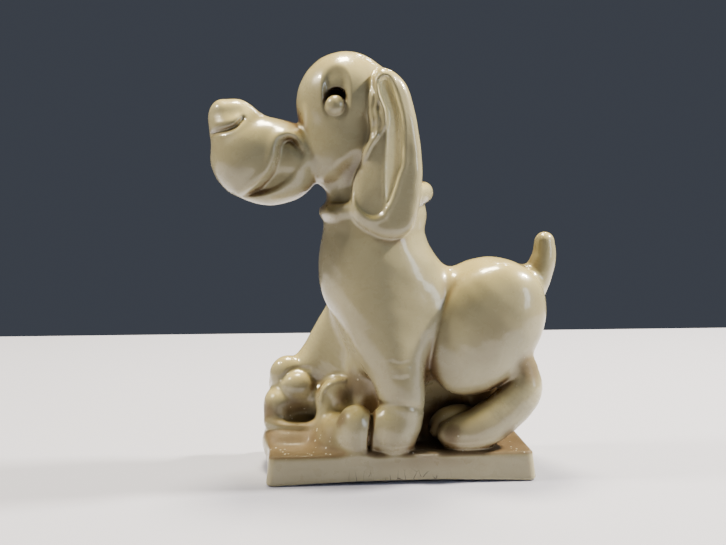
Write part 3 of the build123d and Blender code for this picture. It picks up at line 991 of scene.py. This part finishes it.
def ground_mask(n, mottle, up):
    """Where the glaze has run off: the plinth's top, and ragged patches."""
    low = n.span(n.part(n.place, "Z"), 0.034, 0.018)
    level = n.times(n.span(up, 0.05, 0.6), low, True)
    ragged = n.plus(n.look("bare"), n.times(n.maths("SUBTRACT", mottle, 0.5), 0.9))
    return n.maths("MAXIMUM", level, n.times(n.span(ragged, 0.04, 0.72), 0.84))


def clean_colour(n, mottle, up):
    """Ivory, with painted light making it brighter and yellower on top."""
    ivory = n.mix(n.span(n.noise(16.0), 0.3, 0.72), IVORY_DULL, IVORY_BRIGHT)
    ivory = n.mix(n.span(mottle, 0.35, 0.75, 0.0, 0.30), ivory, IVORY_MOTTLE)
    # Painted light: upward faces brighter and yellower.
    return n.mix(n.times(n.span(up, 0.25, 0.95), 0.75), ivory, PAINTED_TOP_LIGHT)


def colour_with_wear_and_painted_light(n, ivory, ground, pooled_and_shaded):
    """Browner where the glaze lies thick in creases, which also paints their shade, darker painted shade in
    hollows, earth on the ground, paler on edges, and painted light in the ear channels.
    """
    # Brown where glaze pools in creases, which also paints the shade there.
    brown = n.mix(n.times(n.span(pooled_and_shaded, 0.22, 0.95), 0.80), ivory, POOLED_BROWN_AND_SHADE)
    # Painted shade: darker in deep hollows.
    shaded = n.times(n.span(n.look("deep"), 0.30, 0.95), 0.80)
    brown = n.mix(shaded, brown, PAINTED_HOLLOW_SHADE, "MULTIPLY")
    earth = n.mix(n.span(n.noise(60.0, 4.0, 0.65), 0.35, 0.7), EARTH_DARK, EARTH_LIGHT)
    brown = n.mix(n.times(ground, 0.92), brown, earth)
    pale = n.mix(n.times(n.span(n.look("thin"), 0.35, 0.9), 0.45), brown, IVORY_EDGE)
    # Painted light: the ear's channel paler and yellower.
    return n.mix(n.times(n.look("channel_light"), 0.9), pale, PAINTED_CHANNEL_LIGHT)


def crazing(n, wobbly):
    """Wobbly cells of two sizes, faint except where grime has got in, and the wide ones by themselves."""
    wide = n.span(n.cells(260.0, wobbly), 0.0, 0.035, 1.0, 0.0)
    fine = n.span(n.cells(520.0, wobbly), 0.0, 0.05, 1.0, 0.0)
    grimy = n.plus(n.times(n.span(n.noise(38.0, 2.0), 0.42, 0.66), 0.20), 0.045)
    return n.plus(n.times(wide, grimy), n.times(fine, 0.05), True), wide


def specks(n, ground, pooled_and_shaded):
    """How rough the glaze is low down and in creases, with the specks and the bubbles in it; the bubbles
    are raised bumps and also get painted glints.
    """
    amount = n.plus(n.times(n.span(pooled_and_shaded, 0.2, 0.8), 0.8), n.times(ground, 0.7), True)
    speck = n.times(n.dots(430.0, 0.30, 0.18), n.span(n.noise(210.0, 1.0), 0.60, 0.68), True)
    speck = n.times(speck, n.plus(amount, 0.10), True)
    some = n.times(n.span(n.noise(110.0, 1.0), 0.52, 0.60), ground)
    return amount, speck, n.times(n.dots(360.0, 0.22, 0.12), some, True)


def foot_grime(n, colour, wobbly, up):
    """Grime has crept up fine cracks from the foot of the front face, and the underside is bare."""
    squash = n.add("ShaderNodeMapping")
    n.put(squash.inputs["Vector"], wobbly)
    squash.inputs["Scale"].default_value = (1.0, 1.0, 0.34)
    upright = n.span(n.cells(230.0, squash.outputs[0]), 0.0, 0.055, 1.0, 0.0)
    middle = n.span(n.maths("ABSOLUTE", n.plus(n.part(n.place, "X"), 0.004)), 0.036, 0.012)
    front = n.span(n.part(n.place, "Y"), -0.026, -0.0285)
    foot = n.span(n.part(n.place, "Z"), 0.0085, 0.002)
    grime = n.times(n.times(middle, front), n.times(foot, upright), True)
    sparse = n.span(n.noise(120.0, 1.0), 0.42, 0.55)
    colour = n.mix(n.times(grime, sparse), colour, GRIME_BLACK)
    return n.mix(n.span(up, -0.5, -0.9), colour, BARE_CLAY)


def relief(n, cracks, amount, speck, bubble_and_glint):
    """The glaze ripples gently, cracks are hairlines and pinholes are tiny pits."""
    height = n.plus(n.times(n.noise(70.0, 2.0, 0.5), 0.9), n.times(n.noise(330.0, 2.0, 0.5), 0.16))
    height = n.maths("SUBTRACT", height, n.times(cracks, 0.05))
    height = n.maths("SUBTRACT", height, n.times(speck, 0.35))
    height = n.plus(height, n.times(bubble_and_glint, 0.8))
    height = n.plus(height, n.times(n.noise(900.0, 2.0, 0.7), n.times(amount, 0.55)))
    bump = n.add("ShaderNodeBump")
    n.put(bump.inputs["Strength"], 0.32)
    n.put(bump.inputs["Distance"], 0.0006)
    n.put(bump.inputs["Height"], height)
    return bump.outputs[0]


def glaze(name, stained=False):
    """Old ivory craquelure glaze. The stained one adds the grime lines of the plinth's foot."""
    n = Nodes(name)
    up = n.part(n.add("ShaderNodeNewGeometry").outputs["Normal"], "Z")
    mottle = n.noise(95.0, 4.0, 0.6)
    pooled_and_shaded = n.look("pool_and_shade")
    wobbly = wobbled(n)
    ground = ground_mask(n, mottle, up)
    amount, speck, bubble_and_glint = specks(n, ground, pooled_and_shaded)
    cracks, wide_cracks = crazing(n, wobbly)

    colour = colour_with_wear_and_painted_light(n, clean_colour(n, mottle, up), ground, pooled_and_shaded)
    colour = n.mix(cracks, colour, CRAZE_LINE)
    colour = n.mix(speck, colour, SPECK_BROWN)
    # Painted shade: near black in the eye sockets and in the hollow between foreleg and hind foot.
    painted_black = n.times(n.span(pooled_and_shaded, 0.45, 0.9), n.span(n.look("black_shade"), 0.05, 0.4))
    colour = n.mix(n.times(painted_black, 0.9), colour, PAINTED_SHADE_BLACK)
    # Painted glints: pale dots on the bubbles of the ground.
    colour = n.mix(n.times(bubble_and_glint, 0.6), colour, PAINTED_GLINT_PALE)
    if stained:
        colour = foot_grime(n, colour, wobbly, up)

    shader = n.add("ShaderNodeBsdfPrincipled")
    rough = n.plus(n.times(mottle, 0.16), n.times(ground, 0.30), True)
    bumps = relief(n, wide_cracks, amount, speck, bubble_and_glint)
    for socket, value in (
        ("Base Color", colour), ("Roughness", n.plus(rough, 0.20, True)),
        ("IOR", 1.5), ("Specular IOR Level", 0.3),
        ("Coat Weight", n.span(ground, 0.1, 0.8, 0.62, 0.10)), ("Coat Roughness", 0.045), ("Coat IOR", 1.5),
        ("Normal", bumps), ("Coat Normal", bumps),
    ):
        n.put(shader.inputs[socket], value)
    n.put(n.add("ShaderNodeOutputMaterial").inputs["Surface"], shader.outputs[0])
    return n.material


def closed_shell(faces):
    """The points used, and the faces of a patch closed into a thin shell, with its inside behind it."""
    tri = np.array(faces, dtype=np.int64)
    used, tri = np.unique(tri, return_inverse=True)
    tri = tri.reshape(-1, 3)
    count = len(used)
    edges = edges_of(tri)
    code = edges[:, 0] * count + edges[:, 1]
    back = edges[:, 1] * count + edges[:, 0]
    rim = edges[~np.isin(code, back)]
    a, b = rim[:, 0], rim[:, 1]
    walls = np.concatenate([
        np.stack([b, a, a + count], axis=1), np.stack([b, a + count, b + count], axis=1)
    ])
    return used, np.concatenate([tri, tri[:, ::-1] + count, walls])


def glazed_piece(name, faces, material):
    """A node's patch of the skin as a closed piece, which rides on the body and replaces the node."""
    used, faces = closed_shell(faces)
    outer, facing = points[used], normals[used]
    where = np.vstack([outer, outer - facing * SHELL]) * MM
    mesh = bpy.data.meshes.new("clay_" + name)
    mesh.vertices.add(len(where))
    mesh.vertices.foreach_set("co", where.astype(np.float32).ravel())
    mesh.loops.add(faces.size)
    mesh.loops.foreach_set("vertex_index", faces.astype(np.int32).ravel())
    mesh.polygons.add(len(faces))
    mesh.polygons.foreach_set("loop_start", np.arange(0, faces.size, 3, dtype=np.int32))
    mesh.update(calc_edges=True)
    mesh.validate()
    mesh.polygons.foreach_set("use_smooth", np.ones(len(mesh.polygons), dtype=bool))
    for key, values in LOOKS.items():
        layer = mesh.attributes.new(key, "FLOAT", "POINT")
        layer.data.foreach_set("value", np.tile(values[used], 2).astype(np.float32))
    mesh.normals_split_custom_set_from_vertices(np.vstack([facing, -facing]).tolist())
    mesh.materials.append(material)
    piece = bpy.data.objects.new("glazed_" + name, mesh)
    bpy.context.scene.collection.objects.link(piece)
    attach(piece, "root")
    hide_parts(name)


body_glaze = glaze("ivory_crackle_glaze")
foot_glaze = glaze("stained_plinth_glaze", stained=True)
for n, name in enumerate(names):
    glazed_piece(name, faces_of[n], foot_glaze if name == "plinth" else body_glaze)

# A plain pale floor.
FLOOR_SIDE = 1.2
FLOOR_FRONT, FLOOR_BACK = -0.26, 0.42
floor_mesh = bpy.data.meshes.new("floor")
floor_mesh.from_pydata([
    (-FLOOR_SIDE, FLOOR_FRONT, 0.0), (FLOOR_SIDE, FLOOR_FRONT, 0.0),
    (FLOOR_SIDE, FLOOR_BACK, 0.0), (-FLOOR_SIDE, FLOOR_BACK, 0.0),
], [], [(0, 1, 2, 3)])
floor = bpy.data.objects.new("floor", floor_mesh)
bpy.context.scene.collection.objects.link(floor)
paper = bpy.data.materials.new("pale_paper")
paper.use_nodes = True
paper_shader = paper.node_tree.nodes["Principled BSDF"]
paper_shader.inputs["Base Color"].default_value = (0.40, 0.408, 0.52, 1.0)
paper_shader.inputs["Roughness"].default_value = 0.75
floor_mesh.materials.append(paper)

# Soft studio light: name, place, sides, watts and colour. All lamps aim at the figure's middle.
MIDDLE = (0.0, 0.0, 0.10)
WARM, WARMER, COOL, NEUTRAL = (1.0, 0.91, 0.70), (1.0, 0.89, 0.62), (0.76, 0.87, 1.0), (1.0, 0.98, 0.94)
LAMPS = [
    ("overhead", (-0.05, 0.30, 1.25), (0.28, 0.28), 44.0, WARMER),
    ("high_left", (-0.80, 0.00, 0.90), (0.10, 0.10), 18.0, WARM),
    ("high_right", (0.80, 0.06, 0.85), (0.10, 0.10), 44.0, WARM),
    ("window", (0.95, -0.60, 0.42), (0.26, 0.50), 4.2, COOL),
    ("spot_one", (0.19, 0.68, 0.85), (0.035, 0.035), 1.2, NEUTRAL),
    ("spot_two", (0.34, 0.66, 0.83), (0.035, 0.035), 1.2, NEUTRAL),
]
for name, where, sides, watts, colour in LAMPS:
    light = bpy.data.lights.new(name, "AREA")
    light.shape = "RECTANGLE"
    light.size, light.size_y = sides
    light.energy = watts
    light.color = colour
    holder = bpy.data.objects.new(name, light)
    holder.location = where
    aim = np.array(MIDDLE) - np.array(where)
    flat = math.hypot(aim[0], aim[1])
    holder.rotation_euler = (math.atan2(flat, -aim[2]), 0.0, math.atan2(-aim[0], aim[1]))
    bpy.context.scene.collection.objects.link(holder)

world = bpy.data.worlds.new("studio")
world.use_nodes = True
world.node_tree.nodes["Background"].inputs["Color"].default_value = (0.050, 0.057, 0.073, 1.0)
world.node_tree.nodes["Background"].inputs["Strength"].default_value = 1.0
bpy.context.scene.world = world

# The photograph's viewing angle: slightly above, and a little from the left.
LOOK_DOWN, LOOK_ASIDE = 5.55, 4.3
camera = bpy.data.cameras.new("camera")
camera.sensor_width = 36.0
camera.lens = 44.6
eye = bpy.data.objects.new("camera", camera)
eye.location = (-0.05084, -0.44873, 0.1435)
eye.rotation_euler = (math.radians(90.0 - LOOK_DOWN), 0.0, math.radians(-LOOK_ASIDE))
bpy.context.scene.collection.objects.link(eye)
bpy.context.scene.camera = eye

bpy.context.view_layer.update()
